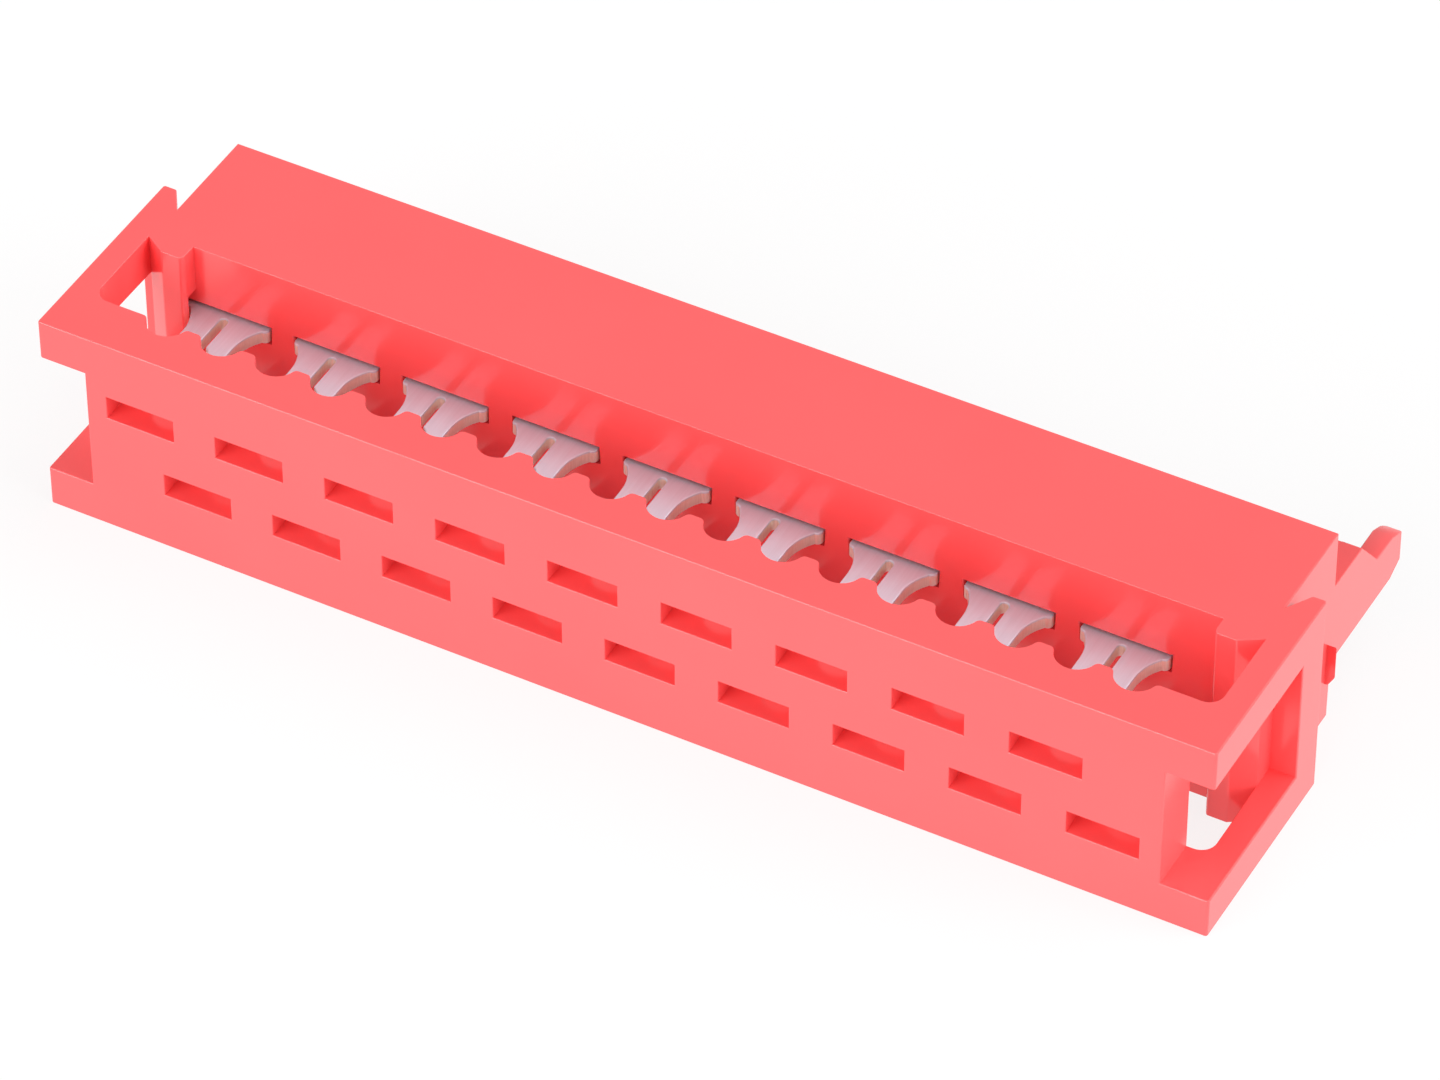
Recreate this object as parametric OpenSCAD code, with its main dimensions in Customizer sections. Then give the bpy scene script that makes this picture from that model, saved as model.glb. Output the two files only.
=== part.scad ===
// Ribbon-cable connector that lies on its long side: one moulded housing and two
// staggered rows of flat stamped contacts. The cable enters the tall slot along Z,
// the contacts' forks cut into it from behind, and the rear tongue is the mating side.
// X runs along the row of conductors, Y from the cable wall to the mating side.

/* [Conductors] */
// Number of conductors, shared by the two rows
positions = 18; // [6:2:26]
// Spacing of neighbouring conductors
pitch = 1.27; // [1.2:0.01:1.6]
// Height between the middles of the two rows
row_gap = 1.54; // [1.2:0.02:1.8]

/* [Housing] */
// Height of the housing as it lies
body_h = 4.88; // [4.4:0.02:6]
// Thickness of the end bars that frame each end window
flange_t = 0.96; // [0.6:0.02:1.2]
// Thickness of the cable wall
wall_t = 1.2; // [0.9:0.02:1.6]
// Depth of the cable slot
cable_gap = 1.82; // [1.6:0.02:2.6]
// Radius of the slot's corners at the cable wall
slot_round = 0.33; // [0.1:0.01:0.4]
// Depth of the recess in the slot's rear wall
recess_d = 0.44; // [0.3:0.02:0.6]
// Depth of the contact block behind the slot
block_d = 3.69; // [3:0.01:4.4]
// Length of the recess past the last conductor
recess_over = 0.76; // [0.5:0.01:0.9]
// Width of the chamfer at the recess's ends
recess_flare = 0.06; // [0.02:0.01:0.2]
// Depth of the chamfer at the recess's ends
flare_d = 0.1; // [0.05:0.01:0.25]
// Length from the end of the recess to the end of the slot
pad_w = 0.965; // [0.8:0.005:1.2]
// Distance that the pad falls back at the end of the slot
pad_back = 0.3; // [0.05:0.01:0.4]
// Distance from the end of the slot back to the end of the block
block_in = 0.05; // [0:0.01:0.12]
// Width of the end bars beside the slot
end_bar_w = 0.58; // [0.4:0.01:0.9]
// Radius of the end bars' upright corners
end_round = 0.06; // [0.02:0.01:0.25]
// Length of the cable wall past the last conductor
wall_over = 1.255; // [1:0.005:1.5]
// Distance from the slot's rear wall to the end post
post_set = 0.87; // [0.6:0.01:1.2]
// Depth of the end post
post_d = 0.96; // [0.7:0.02:1.2]
// Width of the chamfer behind the end post
post_cut_w = 0.33; // [0.1:0.01:0.36]
// Length of the chamfer behind the end post
post_cut_l = 0.52; // [0.1:0.01:0.65]

/* [Cable wall] */
// Width of the slots that take the fork points
slot_w = 1.56; // [1.3:0.02:1.8]
// Height of the slots that take the fork points
slot_h = 0.55; // [0.4:0.01:0.7]
// Radius of the groove for one conductor
groove_r = 0.45; // [0.3:0.01:0.55]
// Depth of the groove for one conductor
groove_d = 0.4; // [0.2:0.01:0.45]
// Radius of the crests between the grooves
crest_r = 0.12; // [0.04:0.01:0.14]

/* [Mating side] */
// Thickness of the tongue
tongue_t = 2.08; // [1.9:0.02:2.6]
// Length of the tongue
tongue_l = 1.24; // [0.9:0.01:2]
// Width of the keying peg
peg_w = 0.45; // [0.4:0.01:0.8]
// Height of the keying peg
peg_h = 1.14; // [0.7:0.02:1.2]
// Length of the keying peg past the tongue
peg_l = 2; // [1.5:0.02:3]
// Length of the lead-ins over and under the peg's tip
peg_tip_run = 0.46; // [0.2:0.01:0.6]
// Height of each lead-in at the peg's tip
peg_tip_rise = 0.2; // [0.05:0.01:0.3]
// Radius of the peg's inner corner
peg_round = 0.16; // [0.05:0.01:0.25]
// Length of the sloped root of the peg
root_run = 0.82; // [0.5:0.01:1.2]
// Distance that each catch stands out of the block's end
catch_out = 0.22; // [0.1:0.01:0.3]
// Height of each catch
catch_h = 1.08; // [0.6:0.02:1.4]
// Height of the middle of each catch
catch_z = 1.57; // [1.2:0.01:2.4]
// Length of each catch, up to the block's rear edge
catch_l = 0.23; // [0.15:0.01:0.6]
// Height of each catch at the block's rear edge
catch_rear_h = 0.48; // [0.2:0.02:0.6]
// Distance that each catch stands out at the block's rear edge
catch_rear_out = 0.02; // [0.01:0.01:0.08]
// Width of the cut on each catch's lower corner
catch_cut_w = 0.15; // [0.02:0.01:0.2]
// Height of the cut on each catch's lower corner
catch_cut_h = 0.27; // [0.1:0.01:0.3]

/* [Contact] */
// Thickness of the contact sheet
sheet_t = 0.3; // [0.2:0.01:0.4]
// Width of the contact across its shoulders
shoulder_w = 1.94; // [1.7:0.02:2.1]
// Radius of the shoulders' corners
shoulder_round = 0.12; // [0.04:0.01:0.2]
// Distance that the shoulders stand out of the recess
shoulder_out = 0.12; // [0.05:0.01:0.25]
// Width of the fork at its root
root_w = 1.7; // [1.5:0.02:1.8]
// Width of the fork at its points
fork_w = 1.2; // [0.9:0.02:1.4]
// Length of the fork in front of the shoulders
fork_l = 1.14; // [0.9:0.02:1.4]
// Length of the hollow curve at the fork's root
neck_l = 0.7; // [0.4:0.02:0.8]
// Width of the slit that grips one wire
slit_w = 0.18; // [0.12:0.01:0.3]
// Width of the mouth between the fork's points
mouth_w = 0.62; // [0.4:0.02:0.8]
// Length of the mouth between the fork's points
mouth_l = 0.3; // [0.15:0.01:0.5]
// Distance from the tongue's end to the blade's end
blade_inset = 0.15; // [0.05:0.01:0.4]
// Chamfer of the blade's end corners
blade_chamfer = 0.3; // [0.1:0.01:0.5]
// Length of the grip lugs on the contact's sides
grip_l = 0.6; // [0.3:0.02:1.2]

/* [Cavity] */
// Clearance on each side of the contact
side_clear = 0.03; // [0.01:0.01:0.06]
// Clearance over the contact
seat_clear = 0.03; // [0.01:0.01:0.06]
// Height of the cavity's open front
open_h = 0.46; // [0.42:0.01:0.7]
// Depth of the cavity's open front
open_d = 0.3; // [0.15:0.01:0.6]
// Height of the notch in the recess's end for an end contact's shoulder
notch_h = 1.1; // [0.6:0.02:1.5]
// Clearance in front of the shoulder in that notch
notch_clear = 0.18; // [0.08:0.01:0.2]

/* [Hidden] */
$fn = 48;
// Distance that a cut reaches past the face it opens, or a form into its neighbour
over = 1;
half_span = (positions - 1) * pitch / 2;
wall_x = half_span + wall_over;
recess_x = half_span + recess_over;
flare_x = recess_x + recess_flare;
slot_x = recess_x + pad_w;
block_x = slot_x - block_in;
end_x = slot_x + end_bar_w;
block_y = wall_t + cable_gap;
recess_y = block_y + recess_d;
post_y = block_y + post_set;
post_end = post_y + post_d;
rear_y = block_y + block_d;
tongue_y = rear_y + tongue_l;
tip_y = tongue_y + peg_l;
mid_z = body_h / 2;
tongue_low = mid_z - tongue_t / 2;
tongue_top = mid_z + tongue_t / 2;
peg_top = tongue_low + peg_h;
catch_y = rear_y - catch_l;
catch_x = block_x + catch_out;
catch_low = catch_z - catch_h / 2;
shoulder_y = recess_y - shoulder_out;
fork_y = shoulder_y - fork_l;
blade_y = tongue_y - blade_inset;
groove_y = wall_t - groove_d + groove_r;
crest_y = wall_t - crest_r;
crest_x = sqrt(pow(groove_r + crest_r, 2) - pow(groove_y - crest_y, 2));
// Share of the way from the groove's middle to the crest's middle where the two curves meet
meet = groove_r / (groove_r + crest_r);
grip_y = (recess_y + open_d + rear_y - grip_l) / 2;
seat_z = row_gap / 2 - sheet_t / 2;
neck_cut = (root_w - fork_w) / 2;
neck_r = (neck_cut * neck_cut + neck_l * neck_l) / (2 * neck_cut);
cavity_w = shoulder_w + 2 * side_clear;

function column_x(i) = (i - 1) * pitch - half_span;

// A box between two corners
module span(low, high) {
    translate(low) cube(high - low);
}

// The children, drawn above the middle plane, at conductor i: odd ones above, even ones below
module at_conductor(i) {
    translate([column_x(i), 0, mid_z])
        mirror([0, 0, i % 2 == 1 ? 0 : 1])
            children();
}

// Both ends: the children as drawn at the right end, and mirrored
module both_ends() {
    children();
    mirror([1, 0, 0]) children();
}

// The outline from above of the cable slot, with the recess in its rear wall
module slot_plan() {
    translate([slot_round - slot_x, wall_t]) square([2 * (slot_x - slot_round), cable_gap]);
    both_ends() {
        translate([slot_x - slot_round, wall_t + slot_round]) circle(slot_round);
        polygon([
            [0, wall_t + slot_round],
            [slot_x, wall_t + slot_round],
            [slot_x, block_y + pad_back],
            [wall_x, block_y],
            [0, block_y]
        ]);
    }
    polygon([
        [-flare_x, wall_t],
        [flare_x, wall_t],
        [flare_x, block_y],
        [recess_x, block_y + flare_d],
        [recess_x, recess_y],
        [-recess_x, recess_y],
        [-recess_x, block_y + flare_d],
        [-flare_x, block_y]
    ]);
}

// The outline from above of one conductor's groove, which runs out over rounded crests
module groove_plan() {
    translate([0, groove_y]) circle(groove_r);
    both_ends()
        difference() {
            polygon([
                [crest_x * meet, groove_y + (crest_y - groove_y) * meet],
                [crest_x, crest_y],
                [crest_x, wall_t + crest_r],
                [crest_x * meet, wall_t + crest_r]
            ]);
            translate([crest_x, crest_y]) circle(crest_r);
        }
}

// The outline from above of the end frames and the cable wall, with round upright corners
module frame_plan() {
    translate([end_round - end_x, 0]) square([2 * (end_x - end_round), post_end]);
    translate([-end_x, end_round]) square([2 * end_x, post_end - 2 * end_round]);
    both_ends() {
        translate([end_x - end_round, end_round]) circle(end_round);
        translate([end_x - end_round, post_end - end_round]) circle(end_round);
    }
}

// The outline from above of the housing's full-height walls
module housing_plan() {
    difference() {
        union() {
            frame_plan();
            translate([-block_x, wall_t]) square([2 * block_x, rear_y - wall_t]);
        }
        slot_plan();
        for (i = [1:positions])
            translate([column_x(i), 0]) groove_plan();
        both_ends()
            polygon([
                [block_x, post_end - post_cut_l],
                [block_x + post_cut_w, post_end],
                [block_x + post_cut_w, post_end + over],
                [block_x, post_end + over]
            ]);
    }
}

// The opening between the end bars, from the cable wall's end to the post
module end_window() {
    translate([0, 0, flange_t])
        linear_extrude(body_h - 2 * flange_t)
            polygon([
                [wall_x, -over],
                [end_x + over, -over],
                [end_x + over, post_y],
                [slot_x, post_y],
                [slot_x, block_y + pad_back],
                [wall_x, block_y]
            ]);
}

// The slot in the cable wall in front of one contact
module fork_slot() {
    span([-slot_w / 2, -over, row_gap / 2 - slot_h / 2],
         [slot_w / 2, wall_t + over, row_gap / 2 + slot_h / 2]);
}

// The seat of one contact: room for its shoulders, close through the block, a groove on the tongue
module cavity() {
    span([-cavity_w / 2, shoulder_y - notch_clear, row_gap / 2 - notch_h / 2],
         [cavity_w / 2, recess_y, row_gap / 2 + notch_h / 2]);
    span([-cavity_w / 2, shoulder_y - notch_clear, row_gap / 2 - open_h / 2],
         [cavity_w / 2, recess_y + open_d, row_gap / 2 + open_h / 2]);
    span([-cavity_w / 2, recess_y, seat_z],
         [cavity_w / 2, tongue_y + over, seat_z + sheet_t + seat_clear]);
    span([-cavity_w / 2, rear_y, seat_z],
         [cavity_w / 2, tongue_y + over, tongue_t / 2 + over]);
}

// The keying peg beside the tongue, with its sloped root
module peg() {
    intersection() {
        translate([block_x - peg_w, 0, 0])
            rotate([90, 0, 90])
                linear_extrude(peg_w)
                    polygon([
                        [rear_y - over, tongue_low],
                        [tip_y - peg_tip_run, tongue_low],
                        [tip_y, tongue_low + peg_tip_rise],
                        [tip_y, peg_top - peg_tip_rise],
                        [tip_y - peg_tip_run, peg_top],
                        [tongue_y + root_run, peg_top],
                        [tongue_y, tongue_top],
                        [rear_y - over, tongue_top]
                    ]);
        linear_extrude(body_h) {
            translate([block_x - peg_w, 0]) square([peg_w, tip_y - peg_round]);
            translate([block_x - peg_w + peg_round, 0]) square([peg_w - peg_round, tip_y]);
            translate([block_x - peg_w + peg_round, tip_y - peg_round]) circle(peg_round);
        }
    }
}

// The catch on the block's right end: upright in front, with a ramp that falls off behind
module catch() {
    intersection() {
        linear_extrude(body_h)
            polygon([
                [block_x - over, catch_y],
                [catch_x, catch_y],
                [block_x + catch_rear_out, rear_y],
                [block_x - over, rear_y]
            ]);
        translate([block_x - over, 0, 0])
            rotate([90, 0, 90])
                linear_extrude(over + catch_out)
                    polygon([
                        [catch_y, catch_low],
                        [rear_y, catch_z - catch_rear_h / 2],
                        [rear_y, catch_z + catch_rear_h / 2],
                        [catch_y, catch_low + catch_h]
                    ]);
        translate([0, rear_y, 0])
            rotate([90, 0, 0])
                linear_extrude(catch_l)
                    polygon([
                        [block_x - over, catch_low],
                        [catch_x - catch_cut_w, catch_low],
                        [catch_x, catch_low + catch_cut_h],
                        [catch_x, catch_low + catch_h],
                        [block_x - over, catch_low + catch_h]
                    ]);
    }
}

module housing() {
    color("#f0484c")
        difference() {
            union() {
                linear_extrude(body_h) housing_plan();
                span([-block_x, rear_y - over, tongue_low], [block_x, tongue_y, tongue_top]);
                peg();
                both_ends() catch();
            }
            both_ends() end_window();
            for (i = [1:positions])
                at_conductor(i) {
                    fork_slot();
                    cavity();
                }
        }
}

// The fork's outer form, hollowed at its root
module fork_blank() {
    difference() {
        translate([-root_w / 2, fork_y]) square([root_w, fork_l]);
        both_ends() {
            translate([fork_w / 2 + neck_r, shoulder_y - neck_l]) circle(neck_r);
            translate([fork_w / 2, fork_y - over]) square([root_w, fork_l - neck_l + over]);
        }
    }
}

// The blade's outer form, from the rounded shoulders to its chamfered end
module blade_blank() {
    both_ends() {
        translate([shoulder_w / 2 - shoulder_round, shoulder_y + shoulder_round]) circle(shoulder_round);
        polygon([
            [0, shoulder_y],
            [shoulder_w / 2 - shoulder_round, shoulder_y],
            [shoulder_w / 2 - shoulder_round, shoulder_y + shoulder_round],
            [shoulder_w / 2, shoulder_y + shoulder_round],
            [shoulder_w / 2, blade_y - blade_chamfer],
            [shoulder_w / 2 - blade_chamfer, blade_y],
            [0, blade_y]
        ]);
    }
}

// The flat blank of one contact: fork, blade and grip lugs
module contact_plan() {
    difference() {
        union() {
            fork_blank();
            blade_blank();
            translate([-cavity_w / 2, grip_y]) square([cavity_w, grip_l]);
        }
        translate([-slit_w / 2, fork_y - over]) square([slit_w, fork_l + over - slit_w / 2]);
        translate([0, shoulder_y - slit_w / 2]) circle(slit_w / 2);
        polygon([[-mouth_w / 2, fork_y], [mouth_w / 2, fork_y], [0, fork_y + mouth_l]]);
    }
}

module contact(i) {
    color("#cdb4b2")
        at_conductor(i)
            translate([0, 0, seat_z]) linear_extrude(sheet_t) contact_plan();
}

translate([0, -tip_y / 2, 0]) {
    housing();
    for (i = [1:positions])
        contact(i);
}
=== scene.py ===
import math

import bmesh
import bpy
from mathutils import Matrix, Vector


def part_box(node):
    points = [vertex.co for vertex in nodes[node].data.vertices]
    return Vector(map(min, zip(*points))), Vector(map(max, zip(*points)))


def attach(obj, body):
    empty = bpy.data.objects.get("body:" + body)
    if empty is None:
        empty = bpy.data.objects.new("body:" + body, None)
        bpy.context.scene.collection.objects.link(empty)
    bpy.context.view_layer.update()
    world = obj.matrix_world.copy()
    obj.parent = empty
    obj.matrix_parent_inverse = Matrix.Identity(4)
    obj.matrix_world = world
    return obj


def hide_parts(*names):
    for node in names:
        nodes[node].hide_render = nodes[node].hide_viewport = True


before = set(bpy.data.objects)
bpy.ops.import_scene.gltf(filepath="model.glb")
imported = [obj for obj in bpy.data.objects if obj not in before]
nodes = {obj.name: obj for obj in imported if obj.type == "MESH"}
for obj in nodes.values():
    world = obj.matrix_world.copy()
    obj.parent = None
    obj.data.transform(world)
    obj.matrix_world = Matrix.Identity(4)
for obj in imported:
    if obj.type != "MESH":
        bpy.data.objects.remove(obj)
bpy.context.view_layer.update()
mm = 0.001
print("frame loaded:", len(nodes), "nodes")

# camera, fitted to the slots in the cable wall
cameraView = {
    "place": (56.3115, -103.4504, 108.1844),  # mm
    "turn": (47.6085, 0.1106, 28.5751),  # degrees
    "lens": 197.636,  # mm
    "sensorWidth": 36,  # mm
    "clipStart": 0.01,  # m
}
cameraData = bpy.data.cameras.new("productCamera")
cameraData.sensor_fit = "HORIZONTAL"
cameraData.sensor_width = cameraView["sensorWidth"]
cameraData.lens = cameraView["lens"]
cameraData.clip_start = cameraView["clipStart"]
camera = bpy.data.objects.new("productCamera", cameraData)
camera.location = [v * mm for v in cameraView["place"]]
camera.rotation_euler = [math.radians(a) for a in cameraView["turn"]]
bpy.context.scene.collection.objects.link(camera)
bpy.context.scene.camera = camera
print("camera set")


def linearColour(hexText):  # sRGB hex to linear, with alpha
    shares = [int(hexText[i:i + 2], 16) / 255 for i in (1, 3, 5)]
    return [s / 12.92 if s <= 0.04045 else ((s + 0.055) / 1.055) ** 2.4 for s in shares] + [1.0]


def addNode(tree, kind, values=None, links=None, **settings):  # one node, its settings, constants and links
    node = tree.nodes.new(kind)
    for name, value in settings.items():
        setattr(node, name, value)
    for socket, value in (values or {}).items():
        node.inputs[socket].default_value = value
    for socket, source in (links or {}).items():
        tree.links.new(source, node.inputs[socket])
    return node


def mixColours(tree, share, low, high):  # sockets 6, 7 and output 2 are the node's colours
    return addNode(tree, "ShaderNodeMix", {6: linearColour(low), 7: linearColour(high)}, {0: share},
                   data_type="RGBA").outputs[2]


def spreadValue(tree, share, low, high):
    return addNode(tree, "ShaderNodeMapRange", {"To Min": low, "To Max": high},
                   {"Value": share}).outputs["Result"]


def newMaterial(name):
    material = bpy.data.materials.new(name)
    material.use_nodes = True
    material.node_tree.nodes.clear()
    return material, material.node_tree


# PBT, injection moulded in a polished tool: strong even red, glossy enough to mirror the contacts,
# with a faint cloudy flow of the melt and a very shallow orange-peel skin
plasticFinish = {
    "colour": "#fb595a",
    "colourDeep": "#f55153",
    "roughness": (0.13, 0.2),
    "ior": 1.6,
    "flowSize": 4.0,  # mm, clouds in the melt
    "flowDetail": 3.0,
    "skinSize": 0.35,  # mm, orange peel, coarser than life so that it shows
    "skinDetail": 1.0,
    "skinDepth": 0.0006,  # mm
}
plastic, tree = newMaterial("mouldedRedPbt")
place = addNode(tree, "ShaderNodeTexCoord")
flow = addNode(tree, "ShaderNodeTexNoise",
               {"Scale": 1 / (plasticFinish["flowSize"] * mm), "Detail": plasticFinish["flowDetail"]},
               {"Vector": place.outputs["Object"]})
tint = mixColours(tree, flow.outputs["Fac"], plasticFinish["colourDeep"], plasticFinish["colour"])
gloss = spreadValue(tree, flow.outputs["Fac"], *plasticFinish["roughness"])
skin = addNode(tree, "ShaderNodeTexNoise",
               {"Scale": 1 / (plasticFinish["skinSize"] * mm), "Detail": plasticFinish["skinDetail"]},
               {"Vector": place.outputs["Object"]})
relief = addNode(tree, "ShaderNodeBump", {"Strength": 1.0, "Distance": plasticFinish["skinDepth"] * mm},
                 {"Height": skin.outputs["Fac"]})
shader = addNode(tree, "ShaderNodeBsdfPrincipled", {"IOR": plasticFinish["ior"]},
                 {"Base Color": tint, "Roughness": gloss, "Normal": relief.outputs["Normal"]})
addNode(tree, "ShaderNodeOutputMaterial", None, {"Surface": shader.outputs["BSDF"]})


def sheetMetal(name, finish):  # a grain drawn out along one axis shifts the tone and the gloss together
    metal, tree = newMaterial(name)
    place = addNode(tree, "ShaderNodeTexCoord")
    drawn = addNode(tree, "ShaderNodeMapping", {"Scale": [1 / (size * mm) for size in finish["grainSize"]]},
                    {"Vector": place.outputs["Object"]})
    grain = addNode(tree, "ShaderNodeTexNoise", {"Scale": 1.0, "Detail": finish["grainDetail"]},
                    {"Vector": drawn.outputs["Vector"]})
    tone = mixColours(tree, grain.outputs["Fac"], finish["colourDull"], finish["colour"])
    gloss = spreadValue(tree, grain.outputs["Fac"], *finish["roughness"])
    shader = addNode(tree, "ShaderNodeBsdfPrincipled", {"Metallic": 1.0},
                     {"Base Color": tone, "Roughness": gloss})
    addNode(tree, "ShaderNodeOutputMaterial", None, {"Surface": shader.outputs["BSDF"]})
    return metal


# phosphor bronze strip with a matt tin plate: pale, cool grey satin with faint rolling lines along the strip
tin = sheetMetal("tinPlatedBronze", {
    "colour": "#dee9f3",
    "colourDull": "#d0dae6",
    "roughness": (0.58, 0.7),
    "grainSize": (0.05, 1.4, 0.05),  # mm, rolling lines along Y
    "grainDetail": 2.0,
})

# the strip's sheared edge, where the punch leaves bare bronze: warm, with upright shear marks, and paler
# than the plate as a painted highlight, so that the upright sides read as lit
sheared = sheetMetal("shearedBronzeEdgeWithPaintedHighlight", {
    "colour": "#f6efe6",
    "colourDull": "#e2d5c6",
    "roughness": (0.55, 0.7),
    "grainSize": (0.03, 0.03, 0.3),  # mm, shear marks along Z
    "grainDetail": 1.0,
})
print("materials made")

meshCare = {
    "weld": 0.001,  # mm, joins the loose triangles of a node
    "flat": 0.5,  # degrees, faces that count as one
    "sharp": 30,  # degrees, outer edges that are rounded
    "meet": 0.0005,  # mm, joins points where two roundings meet
    "smooth": 35,  # degrees
}


def weldAll(distance):  # mm, leaves edit mode on for what follows
    bpy.ops.object.mode_set(mode="EDIT")
    bpy.ops.mesh.select_all(action="SELECT")
    bpy.ops.mesh.remove_doubles(threshold=distance * mm)


def mergedCopy(nodeName, pieceName):  # the node's loose triangles as one closed mesh with whole faces
    piece = bpy.data.objects.new(pieceName, nodes[nodeName].data.copy())
    bpy.context.scene.collection.objects.link(piece)
    bpy.ops.object.select_all(action="DESELECT")
    piece.select_set(True)
    bpy.context.view_layer.objects.active = piece
    bpy.ops.mesh.customdata_custom_splitnormals_clear()
    weldAll(meshCare["weld"])
    bpy.ops.mesh.dissolve_limited(angle_limit=math.radians(meshCare["flat"]))
    bpy.ops.object.mode_set(mode="OBJECT")
    piece.data.materials.clear()
    return piece


def roundEdges(piece, widest, segments, radiusAt):  # bevels each outer edge of the active piece, radii in mm
    shape = bmesh.new()
    shape.from_mesh(piece.data)
    weights = shape.edges.layers.float.new("bevel_weight_edge")
    for edge in shape.edges:
        if edge.is_manifold and edge.calc_face_angle_signed() > math.radians(meshCare["sharp"]):
            ends = [v.co / mm for v in edge.verts]
            edge[weights] = radiusAt((ends[0] + ends[1]) / 2, (ends[1] - ends[0]).normalized()) / widest
    shape.to_mesh(piece.data)
    shape.free()
    bevel = piece.modifiers.new("edgeRounding", "BEVEL")
    bevel.limit_method = "WEIGHT"
    bevel.width = widest * mm
    bevel.segments = segments
    bevel.use_clamp_overlap = False
    bevel.loop_slide = False
    bpy.ops.object.modifier_apply(modifier=bevel.name)
    weldAll(meshCare["meet"])
    bpy.ops.object.mode_set(mode="OBJECT")
    bpy.ops.object.shade_smooth_by_angle(angle=math.radians(meshCare["smooth"]))
    flat = piece.modifiers.new("flatFaces", "WEIGHTED_NORMAL")  # keeps the large faces flat
    flat.keep_sharp = True
    bpy.ops.object.modifier_apply(modifier=flat.name)


# the moulding; all in mm, X from the middle, Y from the cable face, Z from the floor
housingShape = {
    "cableFace": -4.975,  # its Y in the frame
    "height": 4.88,
    "outerRound": 0.035,
    "rimRound": 0.02,  # around the top and bottom of the cable slot
    "padRound": 0.035,  # upright edges of the slot's rear wall
    "mouthRound": 0.03,  # mouths of the fork slots
    "fineRound": 0.02,  # the catches and the tongue
    "segments": 3,
    "onFace": 0.01,  # nearer than this is in the face
    "slotX": 12.55,  # the cable slot ends inside this
    "slotY": (0.5, 3.6),
    "catchX": 12.4,  # the catches lie outside this
    "catchY": (6.45, 6.75),
    "catchZ": (1, 2.2),
    "tongueY": 6.65,  # the tongue and the peg lie behind this
    "tongueTop": 3.4,  # the tongue's top lies over this
    "endX": 12,  # the ends lie outside this
    "rearWallY": 2.9,  # the slot's rear wall lies behind this
    "upright": 0.9,  # share of an edge's run along Z, over which it is upright
}


def between(value, limits):
    return limits[0] < value < limits[1]


def housingRadius(middle, run):
    x, y, z = abs(middle.x), middle.y - housingShape["cableFace"], middle.z
    level = min(z, housingShape["height"] - z)  # from the nearer of the two long sides
    if level < housingShape["onFace"]:
        inSlot = between(y, housingShape["slotY"]) and x < housingShape["slotX"]
        return housingShape["rimRound"] if inSlot else housingShape["outerRound"]
    catchEdge = (x > housingShape["catchX"] and between(y, housingShape["catchY"])
                 and between(z, housingShape["catchZ"]))
    tongueEdge = y > housingShape["tongueY"] and (x < housingShape["endX"] or z > housingShape["tongueTop"])
    if catchEdge or tongueEdge:
        return housingShape["fineRound"]
    if y < housingShape["onFace"] and x < housingShape["endX"]:
        return housingShape["mouthRound"]
    if x > housingShape["endX"]:
        return housingShape["outerRound"]
    onPad = abs(run.z) > housingShape["upright"] and y > housingShape["rearWallY"]
    return housingShape["padRound"] if onPad else 0


housing = mergedCopy("housing", "housingMoulding")
roundEdges(housing, housingShape["outerRound"], housingShape["segments"], housingRadius)
housing.data.materials.append(plastic)
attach(housing, "root")
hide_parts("housing")
print("housing rounded:", len(housing.data.polygons), "faces")

# one stamped contact, then a copy for every place, turned over for the lower row
contactShape = {
    "rollRound": 0.04,  # mm, the side that the punch enters
    "burrRound": 0.012,  # mm, the side that it leaves
    "segments": 2,
    "acrossSheet": 0.5,  # share of an edge's run along Z, over which it stays sharp
    "shearedBelow": 0.3,  # share of a face's normal along Z, under which it is sheared
    "rowGap": 0.1,  # mm, lower than the first contact by this is the lower row
}
contactNames = [name for name in nodes if name.startswith("contact_")]
firstLow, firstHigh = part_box("contact_1")
sheetMiddle = (firstLow[2] + firstHigh[2]) / 2 / mm


def contactRadius(middle, run):
    if abs(run.z) > contactShape["acrossSheet"]:
        return 0
    return contactShape["rollRound"] if middle.z > sheetMiddle else contactShape["burrRound"]


stamped = mergedCopy("contact_1", "stampedContact")
roundEdges(stamped, contactShape["rollRound"], contactShape["segments"], contactRadius)
stamped.data.materials.append(tin)
stamped.data.materials.append(sheared)
# the upright, sheared faces get the paler edge metal: bare bronze's warmth plus a painted highlight along
# the contacts' sides
for face in stamped.data.polygons:
    face.material_index = 1 if abs(face.normal.z) < contactShape["shearedBelow"] else 0
for name in contactNames:
    low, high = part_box(name)
    turn = Matrix.Translation((low[0] - firstLow[0], 0, 0))
    lower = low[2] < firstLow[2] - contactShape["rowGap"] * mm
    if lower:
        turn = turn @ Matrix.Translation((0, 0, low[2] + firstHigh[2])) @ Matrix.Scale(-1, 4, (0, 0, 1))
    piece = bpy.data.objects.new(name.replace("contact", "stamped"), stamped.data.copy())
    piece.data.transform(turn)
    if lower:
        piece.data.flip_normals()
    bpy.context.scene.collection.objects.link(piece)
    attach(piece, "root")
    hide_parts(name)
bpy.data.objects.remove(stamped)
print("contacts placed:", len(contactNames))

# white paper floor on a light table: white to the eye and in reflections, with the part's shadow left in
studio = {
    "floorSize": 4.0,  # m
    "floorColour": "#f2f2f2",
    "shadowShare": 0.16,  # how much of the floor that is seen comes from the light on it
    "tableGlow": 0.6,  # how much of the floor's light on the part comes through the paper
    "ambient": 0.34,  # the world's light on the part
}


def larger(tree, first, second):
    return addNode(tree, "ShaderNodeMath", None, {0: first, 1: second}, operation="MAXIMUM").outputs[0]


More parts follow.
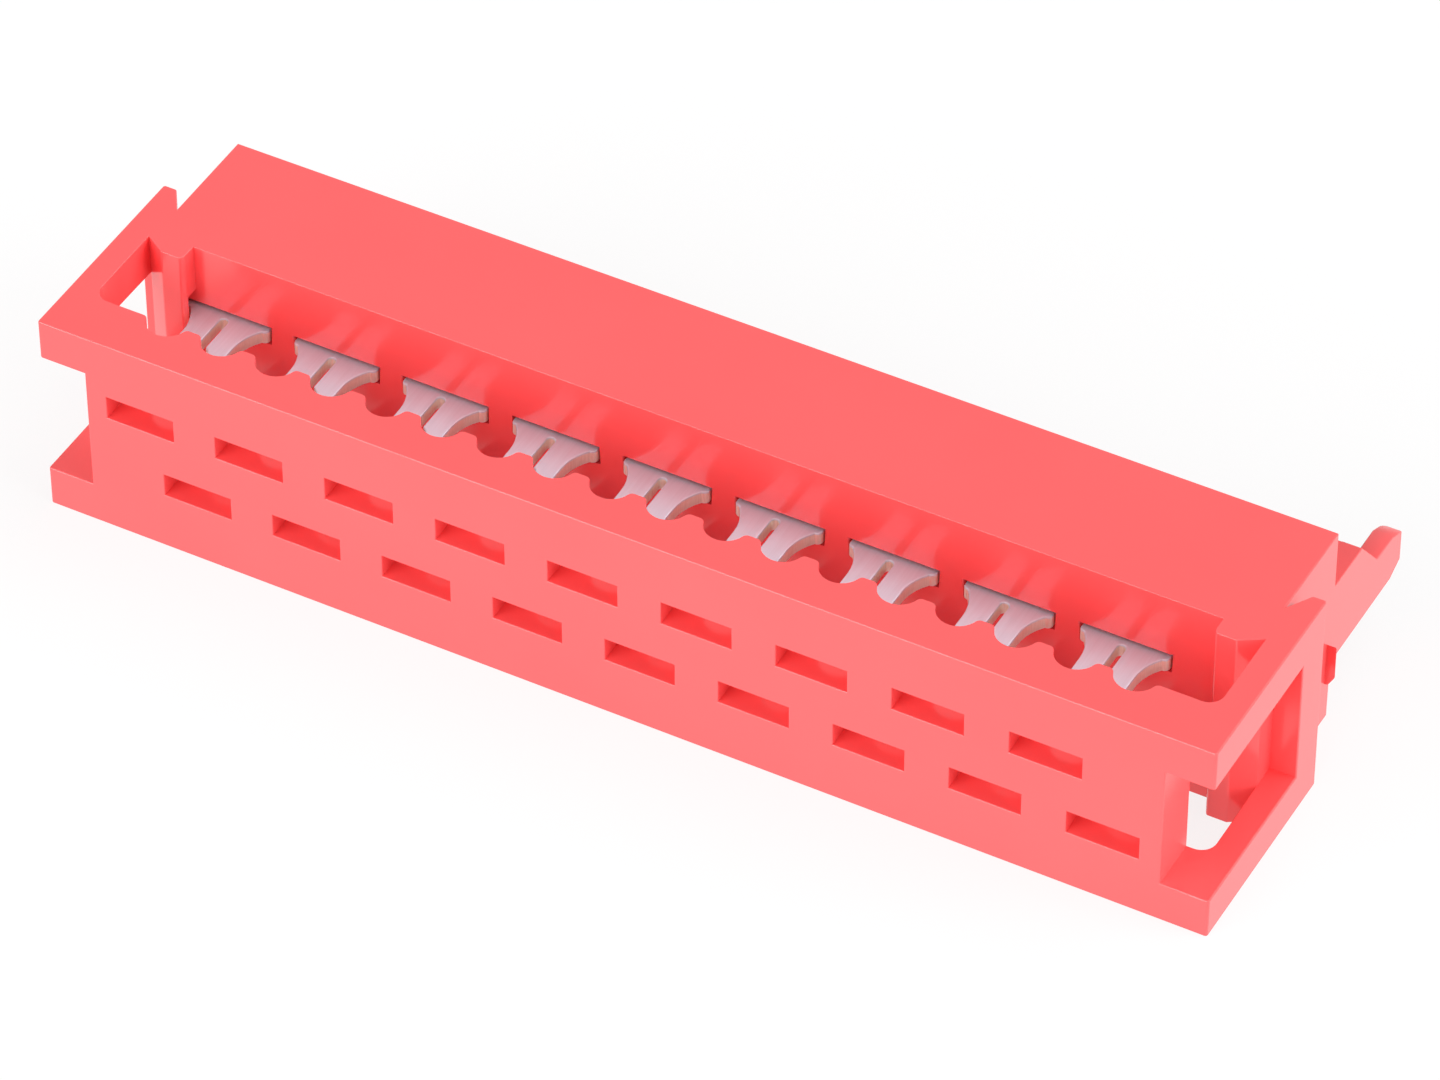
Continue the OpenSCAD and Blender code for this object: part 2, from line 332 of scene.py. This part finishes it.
def seenRays(tree):  # 1 for rays from the camera, mirrors and glass, else 0
    path = addNode(tree, "ShaderNodeLightPath").outputs
    seen = larger(tree, path["Is Camera Ray"], path["Is Glossy Ray"])
    return larger(tree, seen, path["Is Transmission Ray"])


bpy.ops.object.select_all(action="DESELECT")
bpy.ops.mesh.primitive_plane_add(size=studio["floorSize"], location=(0, 0, 0))
floor = bpy.context.active_object
floor.name = "studioFloor"
paper, tree = newMaterial("whitePaperFloor")
lift = spreadValue(tree, seenRays(tree), studio["tableGlow"], 1 - studio["shadowShare"])
matte = addNode(tree, "ShaderNodeBsdfDiffuse", {"Color": linearColour(studio["floorColour"])})
glow = addNode(tree, "ShaderNodeEmission", {"Strength": 1.0})
both = addNode(tree, "ShaderNodeMixShader", None, {0: lift, 1: matte.outputs[0], 2: glow.outputs[0]})
addNode(tree, "ShaderNodeOutputMaterial", None, {"Surface": both.outputs[0]})
floor.data.materials.append(paper)

world = bpy.data.worlds.new("paleStudio")
bpy.context.scene.world = world
world.use_nodes = True
tree = world.node_tree
tree.nodes.clear()
level = spreadValue(tree, seenRays(tree), studio["ambient"], 1.0)
sky = addNode(tree, "ShaderNodeBackground", None, {"Strength": level})
addNode(tree, "ShaderNodeOutputWorld", None, {"Surface": sky.outputs["Background"]})

lamps = {  # place mm, width mm, power W
    "keySoftbox": ((-200, -610, 175), 800, 8.5),
    "topPanel": ((260, 200, 560), 600, 2.0),
    "sidePanel": ((560, 60, 140), 500, 3.9),
}
for name, (place, width, power) in lamps.items():
    lampData = bpy.data.lights.new(name, "AREA")
    lampData.shape = "SQUARE"
    lampData.size = width * mm
    lampData.energy = power
    lamp = bpy.data.objects.new(name, lampData)
    lamp.location = [v * mm for v in place]
    lamp.rotation_euler = (-lamp.location).to_track_quat("-Z", "Y").to_euler()
    bpy.context.scene.collection.objects.link(lamp)
bpy.data.objects["sidePanel"].visible_glossy = False  # low, so the top would mirror it as a white patch
bpy.context.scene.view_settings.view_transform = "Standard"
print("studio lit")
